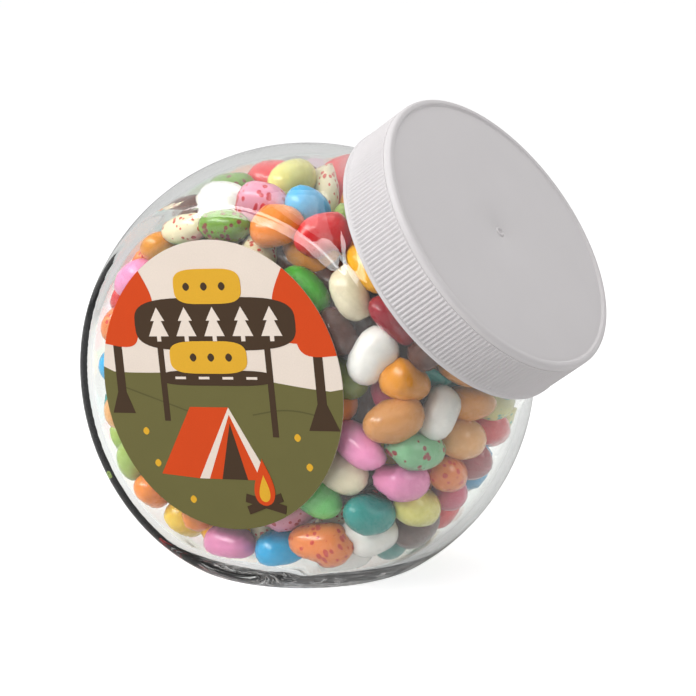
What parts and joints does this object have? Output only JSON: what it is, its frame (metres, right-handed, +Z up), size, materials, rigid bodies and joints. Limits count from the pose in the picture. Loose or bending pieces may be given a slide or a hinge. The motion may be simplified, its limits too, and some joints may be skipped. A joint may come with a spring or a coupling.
{
  "type": "jar of jelly beans",
  "caption": "Round-sided clear glass jar of mixed jelly beans, lying back with its neck tilted up, with a ribbed white screw lid and a round paper label.",
  "frame": {"origin": "centre of the base flat that the jar stands on", "axes": "+Z up, +X to the side that the neck leans to, -Y the labelled front"},
  "size_m": [0.1504, 0.084, 0.1345],
  "materials": {
    "clear_glass": "clear moulded glass",
    "white_plastic": "satin moulded polypropylene",
    "printed_paper": "coated paper",
    "sugar_shell": "polished sugar shell"
  },
  "bodies": {
    "root": {"jar_glass": "clear_glass", "lid": "white_plastic", "label": "printed_paper", "jelly_beans": "sugar_shell"}
  },
  "joints": []
}
